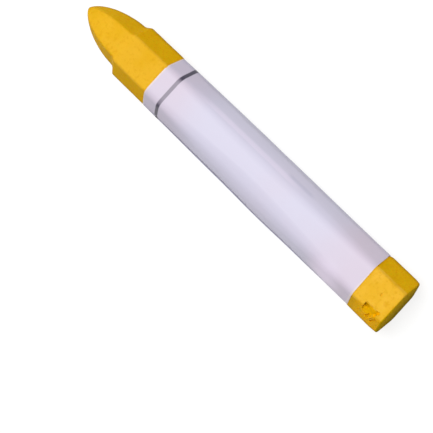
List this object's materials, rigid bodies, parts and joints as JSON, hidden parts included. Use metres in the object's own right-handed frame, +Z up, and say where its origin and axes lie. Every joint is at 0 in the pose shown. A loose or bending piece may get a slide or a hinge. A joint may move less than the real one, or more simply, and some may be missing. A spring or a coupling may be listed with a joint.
{
  "type": "tyre marking crayon",
  "caption": "Hexagonal wax crayon with a pointed nose and a bare tail, wrapped in a pasted paper label, for marking rubber.",
  "frame": {"origin": "centre of the crayon's box, at the surface that the label's lower flat lies on", "axes": "+X from the tail to the nose, +Z up, lying on one flat"},
  "size_m": [0.12, 0.0178, 0.0157],
  "materials": {
    "wax": "soft yellow marking wax, dull with a faint sheen",
    "label_paper": "uncoated, pale lavender",
    "dry_paste": "dry and dull"
  },
  "bodies": {
    "root": {"wax_stick": "wax", "paper_label": "label_paper", "leading_edge_paste": "dry_paste", "lap_paste": "dry_paste"}
  },
  "joints": []
}
